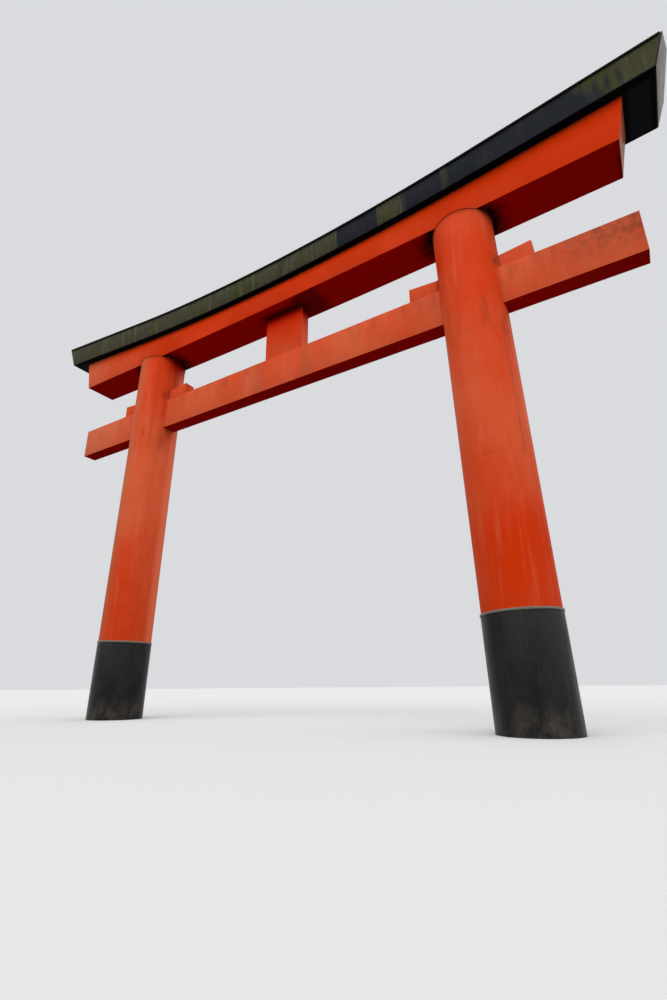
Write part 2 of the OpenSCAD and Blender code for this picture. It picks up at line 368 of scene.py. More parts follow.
def lintel_soot_and_shade(place, axes):
    """A mask of soot and painted shade by the posts, by the strut, most on its right, and at the ends."""
    out = from_middle(axes)
    wander = noise(place, (3.5, 3.5, 3.5), 5, (2, 6, 0))
    near_post = maths("MULTIPLY_ADD", wander, -0.6, post_reach(axes))
    post_soot_and_shade = step(near_post, POST_RADIUS - 0.3, POST_RADIUS + 0.2, 1, 0)
    beside = maths("MULTIPLY", maths("SUBTRACT", out, STRUT_HALF), 0.55)
    before = maths("SUBTRACT", maths("ABSOLUTE", axes["Y"]), strut_high.y)
    strut_gap = maths("MULTIPLY_ADD", wander, -0.16, either(beside, before))
    right_corner = step(along_gate(axes), 0.15, 0.6, 0, -0.22)
    strut_soot_and_shade = step(maths("ADD", strut_gap, right_corner), -0.07, 0.12, 0.58, 0)
    toward_end = maths("MULTIPLY_ADD", wander, 0.3, out)
    end_soot = step(toward_end, LINTEL_HALF + 0.02, LINTEL_HALF + 0.22, 0, 0.8)
    return either(post_soot_and_shade, strut_soot_and_shade, end_soot)


# %% Lintel finishes
# How far the sheltered paint has faded, which goes down to nothing toward the right end
SHELTERED = 0.1
# Painted light: a brighter vermilion for the front face just under the cap beam
PAINTED_LIGHT_VERMILION = (0.64, 0.04, 0.003)
# Soot, which also stands as painted shade under the lintel
SOOT_AND_SHADE = (0.018, 0.004, 0.002)


def lintel_vermilion():
    """Bright paint, faded at the left end, with painted light and shadow at the top, soot and shade
    below.
    """
    finish, place, axes, ways = new_finish("Lintel vermilion")
    along = along_gate(axes)
    left_end = step(along, -8.8, -3.8, 0.5, 0)
    fading = maths("ADD", left_end, step(along, 2.5, 7, SHELTERED, 0))
    colour, streaks, under = vermilion_coats(place, ways, fading, 0.08)
    # Soot and painted shade on the underside, by the posts and the strut
    soot_and_shade = product(lintel_soot_and_shade(place, axes), under)
    down = below_cap(axes)
    # Painted light: a brighter band on the front face a little below the cap beam
    painted_light_band = product(
        step(down, 0.03, 0.09, 0, 0.9), step(down, 0.12, 0.36, 1, 0), step(along, -8.8, -5.8),
        step(along, 2, 6, 1, 0.15), step(ways["Y"], -0.8, -0.6, 1, 0))
    # Painted shadow: a dark line just under the cap beam
    painted_shadow_line = step(down, 0, 0.06, 0.45, 0)
    colour = layered(colour, (soot_and_shade, SOOT_AND_SHADE), (painted_light_band, PAINTED_LIGHT_VERMILION), (painted_shadow_line, RUN_OFF_AND_SHADE))
    return brushed_surface(finish, place, colour, paint_sheen(streaks, under))


def weathered_end():
    """Chalked, rain-washed paint with brown dirt, for the raked and plumb ends of the beams."""
    finish, place, _, ways = new_finish("Weathered end vermilion")
    colour = vermilion_coats(place, ways, 0.85, 0.8)[0]
    smears = noise(place, (2, 3, 1.2), 5, (0, 4, 0))
    colour = mixed(step(smears, 0.3, 0.6, 0.2, 0.85), colour, RUN_OFF_AND_SHADE)
    rough = step(smears, 0.3, 0.7, 0.3, 0.45)
    return brushed_surface(finish, place, colour, rough, WASHED_GLOSS)


lintel_paint = lintel_vermilion()
end_vermilion = weathered_end()
print("lintel finishes", lintel_paint.name, end_vermilion.name)

# %% [markdown]
# ## The posts
# Each post is rolled plate: short tubes welded end to end, with one upright seam in each tube, set
# off from the seam above. The seams were ground, so they only show as faint lines. The paint is most
# faded half way up, where nothing shelters it. The inner side turns away from the light: painted shade
# makes it a deep red close under the lintel, and a painted sheen makes it pale further round. Dirt
# rings the top of the post and lies beside the wedges, and the hole that the tie beam passes through
# lets rusty water run.

# %% Weld seams of a post
# Heights of the joints between the tubes
TUBE_JOINTS = (4.72, 7.45)
# Angle of the upright seam in each tube, from the foot up
SEAM_ANGLES = (1.1, -0.55, -2.32)


def weld_seams(axes, angle):
    """Masks of the joints between the tubes and the seam in each, and of the stain along the seams."""
    lines = [between(axes["Z"], joint - 0.006, joint + 0.006, 0.006) for joint in TUBE_JOINTS]
    stains = []
    ends = (0.0, *TUBE_JOINTS, POST_TOP)
    for low, high, seam in zip(ends, ends[1:], SEAM_ANGLES):
        tube = between(axes["Z"], low, high, 0.004)
        lines.append(product(between(angle, seam - 0.01, seam + 0.01, 0.012), tube))
        stains.append(product(between(angle, seam - 0.02, seam + 0.05, 0.06), tube))
    return either(*lines), either(*stains)


# %% Dirt, dust, painted sheen and painted shade on a post
GRIME = (0.085, 0.022, 0.008)
# Painted shade where hardly any light reaches, painted light and sheen, and paint dulled by dust
DEEP_SHADE = (0.07, 0.0016, 0.0008)
PAINTED_LIGHT_SIDE = (0.74, 0.15, 0.072)
DUSTY_SIDE = (0.38, 0.115, 0.048)


def post_dirt(place, axes, wander, ragged):
    """Coats of dirt round the top, beside the wedges, and in runs below the tie beam."""
    ring = step(ragged, lintel_low.z - 0.04, lintel_low.z + 0.14, 0, 0.45)
    smears = noise(place, (9, 9, 2.2), 6, (0, 3, 1))
    by_wedge = product(
        between(ragged, tie_high.z + 0.14, tie_high.z + 0.42, 0.16),
        between(maths("ABSOLUTE", axes["Y"]), 0.14, 0.36, 0.14), step(smears, 0.36, 0.66, 0.15, 1))
    runs = product(
        step(wander, 0.5, 0.74), step(axes["Z"], tie_low.z - 1.6, tie_low.z, 0, 0.6),
        step(axes["Z"], tie_low.z - 0.01, tie_low.z + 0.03, 1, 0))
    return (ring, GRIME), (by_wedge, GRIME), (runs, RUN_OFF_AND_SHADE)


def post_sides(axes, across, ragged):
    """Painted sheen on the inner back, dust on the left post's outside, and painted shade by the lintel.
    """
    # Painted sheen: a paler tone on the inner back of each post
    lit_side = product(
        step(across, -0.46, 0.16, 1, 0), step(axes["Y"], 0, 0.22, 0, 0.8),
        step(axes["Y"], 0.4, 0.66, 1, 0.35))
    dusty = product(step(across, -0.3, 0.3, 0, 0.6), step(axes["X"], 1, 2, 1, 0))
    # Painted shade: a deep red, then darker, on the inner side close under the lintel
    lee = product(step(across, -0.35, -0.1, 1, 0), step(axes["Y"], -0.36, -0.06))
    red_shade = product(lee, step(ragged, lintel_low.z - 0.6, lintel_low.z, 0, 0.95))
    shaded = product(lee, step(ragged, lintel_low.z - 0.16, lintel_low.z + 0.08, 0, 0.8))
    return (lit_side, PAINTED_LIGHT_SIDE), (dusty, DUSTY_SIDE), (red_shade, DEEP_VERMILION_AND_SHADE), (shaded, DEEP_SHADE)


# %% Post finish
def post_vermilion():
    """Vermilion that is most faded half way up, with dirt, weld seams, and painted sheen and shade."""
    finish, place, axes, ways = new_finish("Post vermilion")
    high_up = step(axes["Z"], 5.5, 10.6, 0.58, 0.2)
    low_down = step(axes["Z"], 2.5, 6, 0.28, 0)
    fading = maths("SUBTRACT", high_up, low_down)
    colour, streaks, under = vermilion_coats(place, ways, fading, 0.7)
    wander = noise(place, (5, 5, 1), 5, (2, 6, 0))
    ragged = maths("MULTIPLY_ADD", wander, 0.14, axes["Z"])
    across = off_post(axes)
    seams, stains = weld_seams(axes, maths("ARCTAN2", axes["Y"], across))
    stained = product(stains, step(streaks, 0.35, 0.65, 0.15, 0.45))
    along_seams = either(product(seams, 0.3), stained)
    colour = layered(
        colour, *post_dirt(place, axes, wander, ragged), (along_seams, RUN_OFF_AND_SHADE),
        *post_sides(axes, across, ragged))
    return brushed_surface(finish, place, colour, paint_sheen(streaks, under), seams=seams)


post_paint = post_vermilion()
print("post finish", post_paint.name)

# %% [markdown]
# ## The tie beam, its wedges and the strut
# These stand furthest out in the rain and are the most faded. Water drips from the strut's foot and
# washes the tie beam to both sides of it, but not below it. It also runs off the beam's flat top, so
# dark tongues start at the top edge and thin out downward, and the right end is mottled with dirt and
# painted shade. The strut is as faded as the tie beam at its foot, and painted light makes it paler on
# its sides. Toward the lintel it goes over to fresh paint, and then into painted deep red shade.

# %% Tie beam finish
def tie_vermilion():
    """Faded paint, clean below the strut and streaked beside it, with tongues of dirt from the top."""
    finish, place, axes, ways = new_finish("Tie beam vermilion")
    along = along_gate(axes)
    out = from_middle(axes)
    below_strut = step(out, STRUT_HALF - 0.06, STRUT_HALF + 0.1, 1, 0)
    outer = step(along, -9, -5.5, 0.35, 0)
    fading = maths("MULTIPLY_ADD", below_strut, -0.16, maths("ADD", outer, 0.55))
    colour, streaks, under = vermilion_coats(place, ways, fading, 0.55)
    tongues = noise(place, (3.2, 3.2, 1), 6, (1, 0, 4))
    from_top = step(axes["Z"], tie_low.z + 0.15, tie_high.z, 0, 0.6)
    hanging = product(step(tongues, 0.42, 0.8), from_top)
    splashed = product(step(out, STRUT_HALF, STRUT_HALF + 0.6, 0.6, 0), tongues)
    open_air = maths("SUBTRACT", 1, below_strut)
    dirt = product(either(hanging, splashed), open_air)
    mottles = noise(place, (9, 9, 6), 4, (7, 0, 0))
    # Dirt mottles at the right end, strong enough to stand also as painted shade
    stained = product(
        step(along, 6, 8), step(mottles, 0.36, 0.66, 0.36, 0.8),
        step(axes["Z"], tie_low.z - 0.1, tie_high.z - 0.15))
    colour = layered(
        colour, (outer, DUSTY_SIDE), (dirt, RUN_OFF_AND_SHADE), (stained, RUN_OFF_AND_SHADE), (under, DEEP_VERMILION_AND_SHADE))
    return brushed_surface(finish, place, colour, paint_sheen(streaks, under))


tie_paint = tie_vermilion()
print("tie beam finish", tie_paint.name)

# %% Wedge and strut finishes
def wedge_vermilion():
    """Faded paint with dirt in the corner where a wedge meets its post."""
    finish, place, axes, ways = new_finish("Wedge vermilion")
    colour, streaks, under = vermilion_coats(place, ways, 0.4, 0.5)
    corner = step(post_reach(axes), POST_RADIUS, POST_RADIUS + 0.1, 0.6, 0)
    dust = step(ways["Z"], 0.5, 0.9, 0, 0.5)
    colour = mixed(either(corner, dust), colour, GRIME)
    return brushed_surface(finish, place, colour, paint_sheen(streaks, under))


def strut_vermilion():
    """Faded at the foot, with painted light on its sides and painted deep red shade under the lintel."""
    finish, place, axes, ways = new_finish("Strut vermilion")
    fading = step(axes["Z"], strut_low.z, strut_high.z - 0.35, 0.4, 0.08)
    colour, streaks, under = vermilion_coats(place, ways, fading, 0.35)
    foot = step(axes["Z"], strut_low.z, strut_low.z + 0.06, 0.5, 0)
    beside = step(maths("ABSOLUTE", ways["X"]), 0.5, 0.9)
    # Painted light: a paler tone on the strut's sides, strongest near the foot
    lit_side = step(axes["Z"], strut_low.z + 0.1, strut_high.z - 0.2, 0.75, 0.3)
    wander = noise(place, (6, 6, 1.2), 5, (3, 0, 0))
    deeper = maths("MULTIPLY_ADD", beside, 0.09, axes["Z"])
    ragged = maths("MULTIPLY_ADD", wander, 0.08, deeper)
    # Painted shade: a deep red, then darker, close under the lintel
    red_shade = step(ragged, strut_high.z - 0.6, strut_high.z - 0.05, 0, 0.9)
    shaded = step(ragged, strut_high.z - 0.3, strut_high.z - 0.03, 0, 0.97)
    colour = layered(
        colour, (foot, RUN_OFF_AND_SHADE), (product(beside, lit_side), PAINTED_LIGHT_SIDE),
        (red_shade, DEEP_VERMILION_AND_SHADE), (shaded, DEEP_SHADE))
    rough = either(paint_sheen(streaks, under), product(shaded, 0.95))
    return brushed_surface(finish, place, colour, rough)


wedge_paint = wedge_vermilion()
strut_paint = strut_vermilion()
print("wedge and strut finishes", wedge_paint.name, strut_paint.name)

# %% [markdown]
# ## Black paint with algae
# The side of the cap beam was painted black. Grey-green algae covers most of it, in brown and green
# patches with fine streaks, and stops sharply where a stretch stayed dry: those stretches still show
# the blue-black paint. They are given as distances along the gate. Toward the right end the growth
# creeps in from the top, so that border slants, and dark tongues of paint show through it. The very
# end is blotched. The soffit never sees the sun: painted shade makes it nearly black, darkest by the
# lintel, and it is a little dusty at the ends. Painted shade also darkens the side's lower edge.

# %% Stretches of the cap beam that stayed dry
# Where they start and end on the front, measured from the middle of the gate
MIDDLE_DRY = (2.02, 3.17)
RIGHT_DRY = (3.85, 7.92)
# A narrow patch in the right stretch, where half of the paint shows through the growth
PATCH = (4.82, 4.98)


def dry_stretches(place, axes):
    """A mask of the stretches that kept their paint: measured on the front, in patches on the back."""
    along = along_gate(axes)
    fray = noise(place, (5, 5, 0.8), 5, (3, 1, 0))
    creep = maths("MULTIPLY_ADD", below_cap(axes), -0.75, along)
    creep = maths("MULTIPLY_ADD", fray, 0.9, creep)
    right = product(
        step(along, RIGHT_DRY[0] - 0.12, RIGHT_DRY[0] + 0.12),
        step(creep, RIGHT_DRY[1] + 0.55, RIGHT_DRY[1] + 0.95, 1, 0),
        step(between(along, *PATCH, 0.03), 0, 1, 1, 0.5))
    middle = between(along, *MIDDLE_DRY, 0.015)
    front = product(either(middle, right), step(axes["Y"], -0.05, 0.05, 1, 0))
    patches = noise(place, (0.55, 0.3, 0.05), 2, (7, 0, 0))
    back = product(step(patches, 0.54, 0.57), step(axes["Y"], -0.05, 0.05))
    return either(front, back)


# %% Algae on the cap beam
# Paint, algae and damp on the sides
CLEAN_PAINT = (0.0106, 0.0126, 0.0199)
TONGUE_BLACK = (0.013, 0.0115, 0.0165)
ALGAE = (0.048, 0.045, 0.025)
BROWN_ALGAE = (0.053, 0.0445, 0.0225)
GREEN_ALGAE = (0.042, 0.048, 0.01)
PALE_ALGAE = (0.09, 0.087, 0.056)
BROWN_DAMP = (0.024, 0.02, 0.012)
# Dark tongues where growth is missing near the right end: the middle and half the width of each
TONGUES = ((8.08, 0.06), (8.31, 0.05), (8.5, 0.04))
# How far the tongues wander sideways
TONGUE_WAVER = 0.16


def algae(place, axes, tints, fine_streaks):
    """Brown, green and pale growth, thin in streaks, with dark tongues and blotches at the right end."""
    along = along_gate(axes)
    bands = noise(place, (2.4, 2.4, 0.12), 5, (4, 0, 2))
    streaks = noise(place, (6, 6, 0.35), 6)
    at_end = step(along, 8.3, 8.7)
    lively = product(step(along, -8.5, -4, 0.45, 1), maths("MULTIPLY_ADD", at_end, -0.75, 1))
    greener = maths("ADD", tints, step(along, 7, 9, 0, 0.1))
    green = product(step(greener, 0.47, 0.58, 0, 0.85), lively)
    thin = product(step(fine_streaks, 0.48, 0.72, 0, 0.65), lively)
    blotches = noise(place, (8, 8, 6), 6, (5, 5, 0))
    below_eave = between(below_cap(axes), -0.44, -0.12, 0.14)
    wavering = maths("MULTIPLY_ADD", maths("SUBTRACT", tints, 0.5), TONGUE_WAVER, along)
    tongues = [between(wavering, middle - half, middle + half, 0.05) for middle, half in TONGUES]
    specks = noise(place, (45, 45, 40), 3, (2, 2, 2))
    speckled = maths("MULTIPLY_ADD", at_end, 0.09, specks)
    return layered(
        ALGAE, (step(bands, 0.48, 0.56, 0, 0.8), BROWN_ALGAE), (green, GREEN_ALGAE),
        (step(streaks, 0.5, 0.66, 0, 0.8), PALE_ALGAE),
        (step(bands, 0.58, 0.68, 0, 0.45), CLEAN_PAINT), (thin, CLEAN_PAINT),
        (product(at_end, step(blotches, 0.44, 0.6, 0, 0.7)), GREEN_ALGAE),
        (product(at_end, step(blotches, 0.32, 0.48, 0.5, 0)), BROWN_DAMP),
        (product(either(*tongues), below_eave, 0.85), TONGUE_BLACK),
        (step(speckled, 0.66, 0.76, 0, 0.5), PALE_ALGAE))


# %% Cap beam finish
# Painted shade on edges that hardly any light reaches and on the soffit by the lintel, and the dusty
# open part of the soffit at the ends
PAINTED_SHADE_BLACK = (0.0062, 0.0065, 0.0078)
SOFFIT_SHADE = (0.0014, 0.0012, 0.0014)
SOFFIT_DUST = (0.015, 0.015, 0.0185)
BLACK_RELIEF = 0.0008
BLACK_GLOSS = 0.04


def cap_black():
    """Black paint, clean dry stretches, algae elsewhere, painted shade on the soffit and the lower edge.
    """
    finish, place, axes, ways = new_finish("Black paint with algae")
    tints = noise(place, (3.6, 3.6, 0.5), 4, (6, 0, 0))
    fine_streaks = noise(place, (30, 30, 0.8), 4, (1, 8, 0))
    growth = algae(place, axes, tints, fine_streaks)
    haze = noise(place, (3, 3, 0.6), 5, (8, 0, 1))
    clean = layered(
        CLEAN_PAINT, (step(tints, 0.5, 0.6, 0, 0.9), TONGUE_BLACK),
        (step(haze, 0.5, 0.8, 0, 0.45), ALGAE))
    # Painted shade: darker toward the lower edge of the side, and a nearly black soffit
    shaded_lower_edge = step(below_cap(axes), -0.05, -0.005, 0, 0.55)
    under = faces_down(ways)
    open_part = product(
        between(axes["Y"], -0.5, 0.64, 0.07), between(from_middle(axes), 8.58, 9, 0.07))
    soffit = mixed(open_part, SOFFIT_SHADE, SOFFIT_DUST)
    colour = layered(
        growth, (dry_stretches(place, axes), clean), (shaded_lower_edge, PAINTED_SHADE_BLACK), (under, soffit))
    rough = either(step(fine_streaks, 0.3, 0.7, 0.45, 0.65), product(under, 0.95))
    grain = noise(place, (60, 60, 30), 3)
    return finish_surface(finish, colour, rough, grain, BLACK_RELIEF, BLACK_GLOSS)


cap_paint = cap_black()
print("cap beam finish", cap_paint.name)

# %% [markdown]
# ## Roof sheets, end plates and foot bands
# The roof is dark painted sheet that catches dust, lichen and leaf stains, and rain draws them into
# runs down the slope. The plates that close the cap beam's ends are washed to a glossy grey with
# nearly black edges. The bands round the feet are plain black paint with dust, and mud that the road
# splashes on them.

# %% Roof finish
SHEET_BLACK = (0.012, 0.012, 0.014)
SHEET_DUST = (0.06, 0.058, 0.05)
LICHEN = (0.15, 0.16, 0.11)
# The last half metre before the raked ends stays wet the longest
END_MOSS = (0.085, 0.09, 0.03)
SHEET_RELIEF = 0.0012
SHEET_GLOSS = 0.08


def roof_black():
    """Dark sheet, dust in runs down the slope, lichen spots, moss at the ends, and painted shade on the
    lip.
    """
    finish, place, axes, ways = new_finish("Dark roof sheet")
    runs = noise(place, (5, 0.6, 0.6), 6)
    patches = noise(place, (0.7, 1.2, 1.2), 4, (2, 0, 0))
    dusty = product(step(runs, 0.4, 0.75), step(patches, 0.3, 0.65, 0.35, 1))
    spots = noise(place, (11, 11, 11), 3, (4, 4, 4))
    damp = step(from_middle(axes), 8.9, 9.3, 0, 0.8)
    mossy = product(damp, step(spots, 0.4, 0.6))
    # Painted shade: the sheet's downturned lip is made nearly black
    shaded_lip = step(ways["Z"], 0.25, 0.6, 1, 0)
    colour = layered(
        SHEET_BLACK, (dusty, SHEET_DUST), (step(spots, 0.66, 0.72, 0, 0.7), LICHEN),
        (mossy, END_MOSS), (shaded_lip, PAINTED_SHADE_BLACK))
    rough = either(step(runs, 0.3, 0.8, 0.45, 0.7), product(shaded_lip, 0.9))
    grain = noise(place, (35, 35, 35), 4)
    return finish_surface(finish, colour, rough, grain, SHEET_RELIEF, SHEET_GLOSS)


roof_sheet = roof_black()
print("roof finish", roof_sheet.name)

# %% End plate finish
PLATE_GREY = (0.105, 0.085, 0.07)
PLATE_RUNS = (0.055, 0.045, 0.036)
PLATE_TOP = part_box("right_end_plate")[1].z
PLATE_GLOSS = 0.21


def end_plate_grey():
    """Rain-washed grey with runs, and painted shade under the ridge."""
    finish, place, axes, _ = new_finish("End plate grey")
    runs = noise(place, (8, 8, 0.7), 5)
    clouds = noise(place, (2, 2, 2), 5, (3, 0, 0))
    # Painted shade at the top of the plate, under the ridge
    colour = layered(
        PLATE_GREY, (step(runs, 0.35, 0.7, 0, 0.8), PLATE_RUNS),
        (step(axes["Z"], PLATE_TOP - 0.16, PLATE_TOP - 0.06), PAINTED_SHADE_BLACK))
    rough = step(clouds, 0.3, 0.8, 0.3, 0.5)
    grain = noise(place, (50, 50, 50), 3)
    return finish_surface(finish, colour, rough, grain, BLACK_RELIEF, PLATE_GLOSS)


end_paint = end_plate_grey()
print("end plate finish", end_paint.name)

# %% Plain paint on plate edges, foot bands and rims
BAND_BLACK = (0.0065, 0.0065, 0.0075)
SPLASHED_MUD = (0.08, 0.068, 0.052)
RIM_GREY = (0.12, 0.115, 0.085)
BAND_GLOSS = 0.12
RIM_GLOSS = 0.3
# Heights where the soil has thinned out; the plates lie half way up to theirs
PLATE_SOIL_TOP = 20.0
BAND_SOIL_TOP = 0.6
RIM_SOIL_TOP = 0.1


def plain_paint(name, paint, soil, soil_top, gloss):
    """Black or grey paint that is soiled up to a height, with scuffs, fine runs and spatter."""
    finish, place, axes, _ = new_finish(name)
    clouds = noise(place, (3, 3, 2), 6)
    runs = noise(place, (18, 18, 0.8), 4)
    spatter = noise(place, (34, 34, 26), 4, (0, 2, 5))
    low = step(axes["Z"], 0, soil_top, 1, 0.12)
    colour = layered(
        paint, (product(step(clouds, 0.38, 0.78), low), soil), (step(runs, 0.58, 0.8, 0, 0.25), soil),
        (product(step(spatter, 0.56, 0.7, 0, 0.7), low), soil))
    rough = step(clouds, 0.3, 0.8, 0.28, 0.55)
    grain = noise(place, (50, 50, 50), 3)
    return finish_surface(finish, colour, rough, grain, BLACK_RELIEF, gloss)


edge_paint = plain_paint("End plate edge black", TONGUE_BLACK, GREEN_ALGAE, PLATE_SOIL_TOP, BLACK_GLOSS)
band_paint = plain_paint("Foot band black", BAND_BLACK, SPLASHED_MUD, BAND_SOIL_TOP, BAND_GLOSS)
rim_paint = plain_paint("Band rim grey", RIM_GREY, SPLASHED_MUD, RIM_SOIL_TOP, RIM_GLOSS)
print("plain finishes", edge_paint.name, band_paint.name, rim_paint.name)

# %% [markdown]
# ## Rounded edges
# Plate that is cut, ground and painted never ends in a knife edge: a few millimetres of rounding
# catch the light. The CAD meshes are exact and sharp, and they mustn't be changed, so each one is
# copied, its loose triangles are merged, and a narrow bevel goes round its sharp edges. The copy then
# stands for the CAD piece. The same copy also lets the posts shade as smooth cylinders.

# %% Helpers that select and copy a piece
# Corners this close are one, and faces this nearly flat to each other are one
SAME_POINT = 0.00005
SAME_PLANE = math.radians(0.02)


def only(piece):
    """Selects this piece alone and makes it the active one."""
    bpy.ops.object.select_all(action="DESELECT")
    piece.select_set(True)
    bpy.context.view_layer.objects.active = piece


def edit_whole(piece):
    """Opens a piece for editing, with its whole mesh selected."""
    only(piece)
    bpy.ops.object.mode_set(mode="EDIT")
    bpy.ops.mesh.select_all(action="SELECT")


def merged_copy(node, name):
    """A copy of a CAD piece whose loose triangles are merged into whole faces."""
    piece = bpy.data.objects.new(name, frame["nodes"][node].data.copy())
    bpy.context.scene.collection.objects.link(piece)
    edit_whole(piece)
    bpy.ops.mesh.remove_doubles(threshold=SAME_POINT)
    bpy.ops.mesh.dissolve_limited(angle_limit=SAME_PLANE)
    bpy.ops.object.mode_set(mode="OBJECT")
    return piece


# %% Helpers that round and paint a piece
# Edges over the first angle are rounded, and edges under the second are shaded smooth
SHARP_EDGE = math.radians(25)
SMOOTH_EDGE = math.radians(28)


def round_edges(piece, edge):
    """Rounds the sharp edges and smooths what is left."""
    only(piece)
    bevel = piece.modifiers.new("Rounding", "BEVEL")
    bevel.width = edge
    bevel.segments = 2
    bevel.limit_method = "ANGLE"
    bevel.angle_limit = SHARP_EDGE
    bevel.use_clamp_overlap = True
    bpy.ops.object.modifier_apply(modifier=bevel.name)
    bpy.ops.object.shade_smooth_by_angle(angle=SMOOTH_EDGE)


def hand_over(piece, finish):
    """Gives a finished piece its paint, lets it ride with the gate, and prints its size."""
    piece.data.materials.clear()
    piece.data.materials.append(finish)
    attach(piece, "root")
    print(piece.name, len(piece.data.polygons), "faces", [round(side, 3) for side in piece.dimensions])


def repaint(piece, finish, wanted):
    """Gives a second paint to the faces whose normal passes the test."""
    piece.data.materials.append(finish)
    for face in piece.data.polygons:
        face.material_index = int(wanted(face.normal))


# %% Which paint and which rounding each piece takes
# Paint by slot, and rounding of the edges in metres: thick plate takes more than thin sheet
LOOK_OF_SLOT = {
    "vermilion_post": (post_paint, 0.006),
    "vermilion_lintel": (lintel_paint, 0.006),
    "vermilion_faded": (wedge_paint, 0.005),
    "black_cap": (cap_paint, 0.005),
    "black_sheet": (roof_sheet, 0.002),
    "end_plate": (end_paint, 0.004),
    "foot_black": (band_paint, 0.003),
    "foot_rim": (rim_paint, 0.006),
}
# Pieces whose paint isn't that of their slot
PAINT_OF_NODE = {
    "centre_strut": strut_paint,
    "tie_beam_left": tie_paint,
    "tie_beam_middle": tie_paint,
    "tie_beam_right": tie_paint,
}
BEAMS_WITH_ENDS = ("lintel_left", "lintel_right", "tie_beam_left", "tie_beam_right")

# %% Round and paint every piece
for part in frame["record"]["subparts"]:
    node = part["node"]
    slot = part["material_slot"]
    paint, edge = LOOK_OF_SLOT[slot]
    piece = merged_copy(node, "painted_" + node)
    round_edges(piece, edge)
    hand_over(piece, PAINT_OF_NODE.get(node, paint))
    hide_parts(node)
    if node in BEAMS_WITH_ENDS:
        repaint(piece, end_vermilion, lambda way: abs(way.x) > 0.9)
    if slot == "end_plate":
        repaint(piece, edge_paint, lambda way: abs(way.x) < 0.9)

# %% [markdown]
# ## Welds round the posts
# The top of each post is welded to the lintel, which leaves a bead of metal in the corner. A bead is a
# small circle spun once round the post. The lintel rises a little toward the ends of the gate, so the
# ring is tipped by the slope of the underside there.

# %% Weld beads at the tops of the posts
BEAD = 0.013
BEAD_SIDES = 8
# Corners of the bead this close are one, which closes the ring
BEAD_GAP = 0.0002
# More than the turn from one side to the next, so all of it is shaded smooth
BEAD_SMOOTH = math.radians(60)
# Steps in a full turn round a post
ROUND_STEPS = 96
top_out = HALF_SPACING - lintel_low.z * POST_LEAN
underside_slope = math.atan(top_out / LINTEL_CURVE)
for side, word in SIDES:
    middle = Vector((GATE_MIDDLE + side * top_out, 0, lintel_low.z + rise(LINTEL_CURVE, top_out)))
    bpy.ops.mesh.primitive_circle_add(
        vertices=BEAD_SIDES, radius=BEAD, location=(POST_RADIUS, 0, 0), rotation=(math.pi / 2, 0, 0))
    bead = bpy.context.object
    bead.name = "post_top_weld_" + word
    bpy.ops.object.transform_apply(location=True, rotation=True, scale=True)
    edit_whole(bead)
    bpy.ops.mesh.spin(steps=ROUND_STEPS, angle=2 * math.pi, center=(0, 0, 0), axis=(0, 0, 1))
    bpy.ops.mesh.select_all(action="SELECT")
    bpy.ops.mesh.remove_doubles(threshold=BEAD_GAP)
    bpy.ops.mesh.normals_make_consistent(inside=False)
    bpy.ops.transform.rotate(value=side * underside_slope, orient_axis="Y", center_override=(0, 0, 0))
    bpy.ops.transform.translate(value=middle)
    bpy.ops.object.mode_set(mode="OBJECT")
    bpy.ops.object.shade_smooth_by_angle(angle=BEAD_SMOOTH)
    hand_over(bead, post_paint)

# %% [markdown]
# ## Fillet welds round the strut and the wedges
# Where a box stands on a beam, a fillet weld runs round its foot: a small slope of metal, as wide as
# it is high. It could be a bead on each edge, but the corners would gape. So it is one thin block,
# whose far face is drawn in until it meets the box's own outline.

# %% Helpers that select faces and make blocks
def select_faces(piece, wanted):
    """Selects the faces whose normal passes the test, and leaves the piece in edit mode."""
    only(piece)
    bpy.ops.object.mode_set(mode="EDIT")
    bpy.ops.mesh.select_mode(type="FACE")
    bpy.ops.mesh.select_all(action="DESELECT")
    bpy.ops.object.mode_set(mode="OBJECT")
    for face in piece.data.polygons:
        face.select = wanted(face.normal)
    bpy.ops.object.mode_set(mode="EDIT")


def block(name, low, high):
    """A block between two corners, with its place in its mesh."""
    bpy.ops.mesh.primitive_cube_add(size=1, location=(low + high) / 2, scale=high - low)
    bpy.ops.object.transform_apply(location=True, rotation=True, scale=True)
    bpy.context.object.name = name
    return bpy.context.object


# %% Fillet welds of box-shaped pieces
# Width and height of the fillets, and how much of that is rounded
LEG = 0.012
WEDGE_LEG = 0.0096
FILLET_ROUNDING = 0.2


def fillet_weld(name, low, high, way, leg, finish):
    """A fillet round a foot that fills low to high; way is 1 where it thins upward, -1 downward."""
    spread = Vector((leg, leg, 0))
    base = low.z if way > 0 else high.z
    lower, upper = sorted((base, base + way * leg))
    weld = block(name, Vector((*low.xy, lower)) - spread, Vector((*high.xy, upper)) + spread)
    select_faces(weld, lambda normal: normal.z * way > 0.9)
    size = high - low
    narrow = (size.x / (size.x + 2 * leg), size.y / (size.y + 2 * leg), 1)
    middle = (low + high) / 2
    bpy.ops.transform.resize(value=narrow, center_override=(middle.x, middle.y, base))
    bpy.ops.object.mode_set(mode="OBJECT")
    round_edges(weld, leg * FILLET_ROUNDING)
    hand_over(weld, finish)


fillet_weld("strut_foot_weld", strut_low, strut_high, 1, LEG, strut_paint)
strut_top = Vector((strut_high.x, strut_high.y, lintel_low.z + rise(LINTEL_CURVE, STRUT_HALF)))
fillet_weld("strut_top_weld", strut_low, strut_top, -1, LEG, strut_paint)
for side in ("left", "right"):
    for place in ("inner", "outer"):
        node = side + "_" + place + "_wedge"
        fillet_weld(node + "_weld", *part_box(node), 1, WEDGE_LEG, wedge_paint)

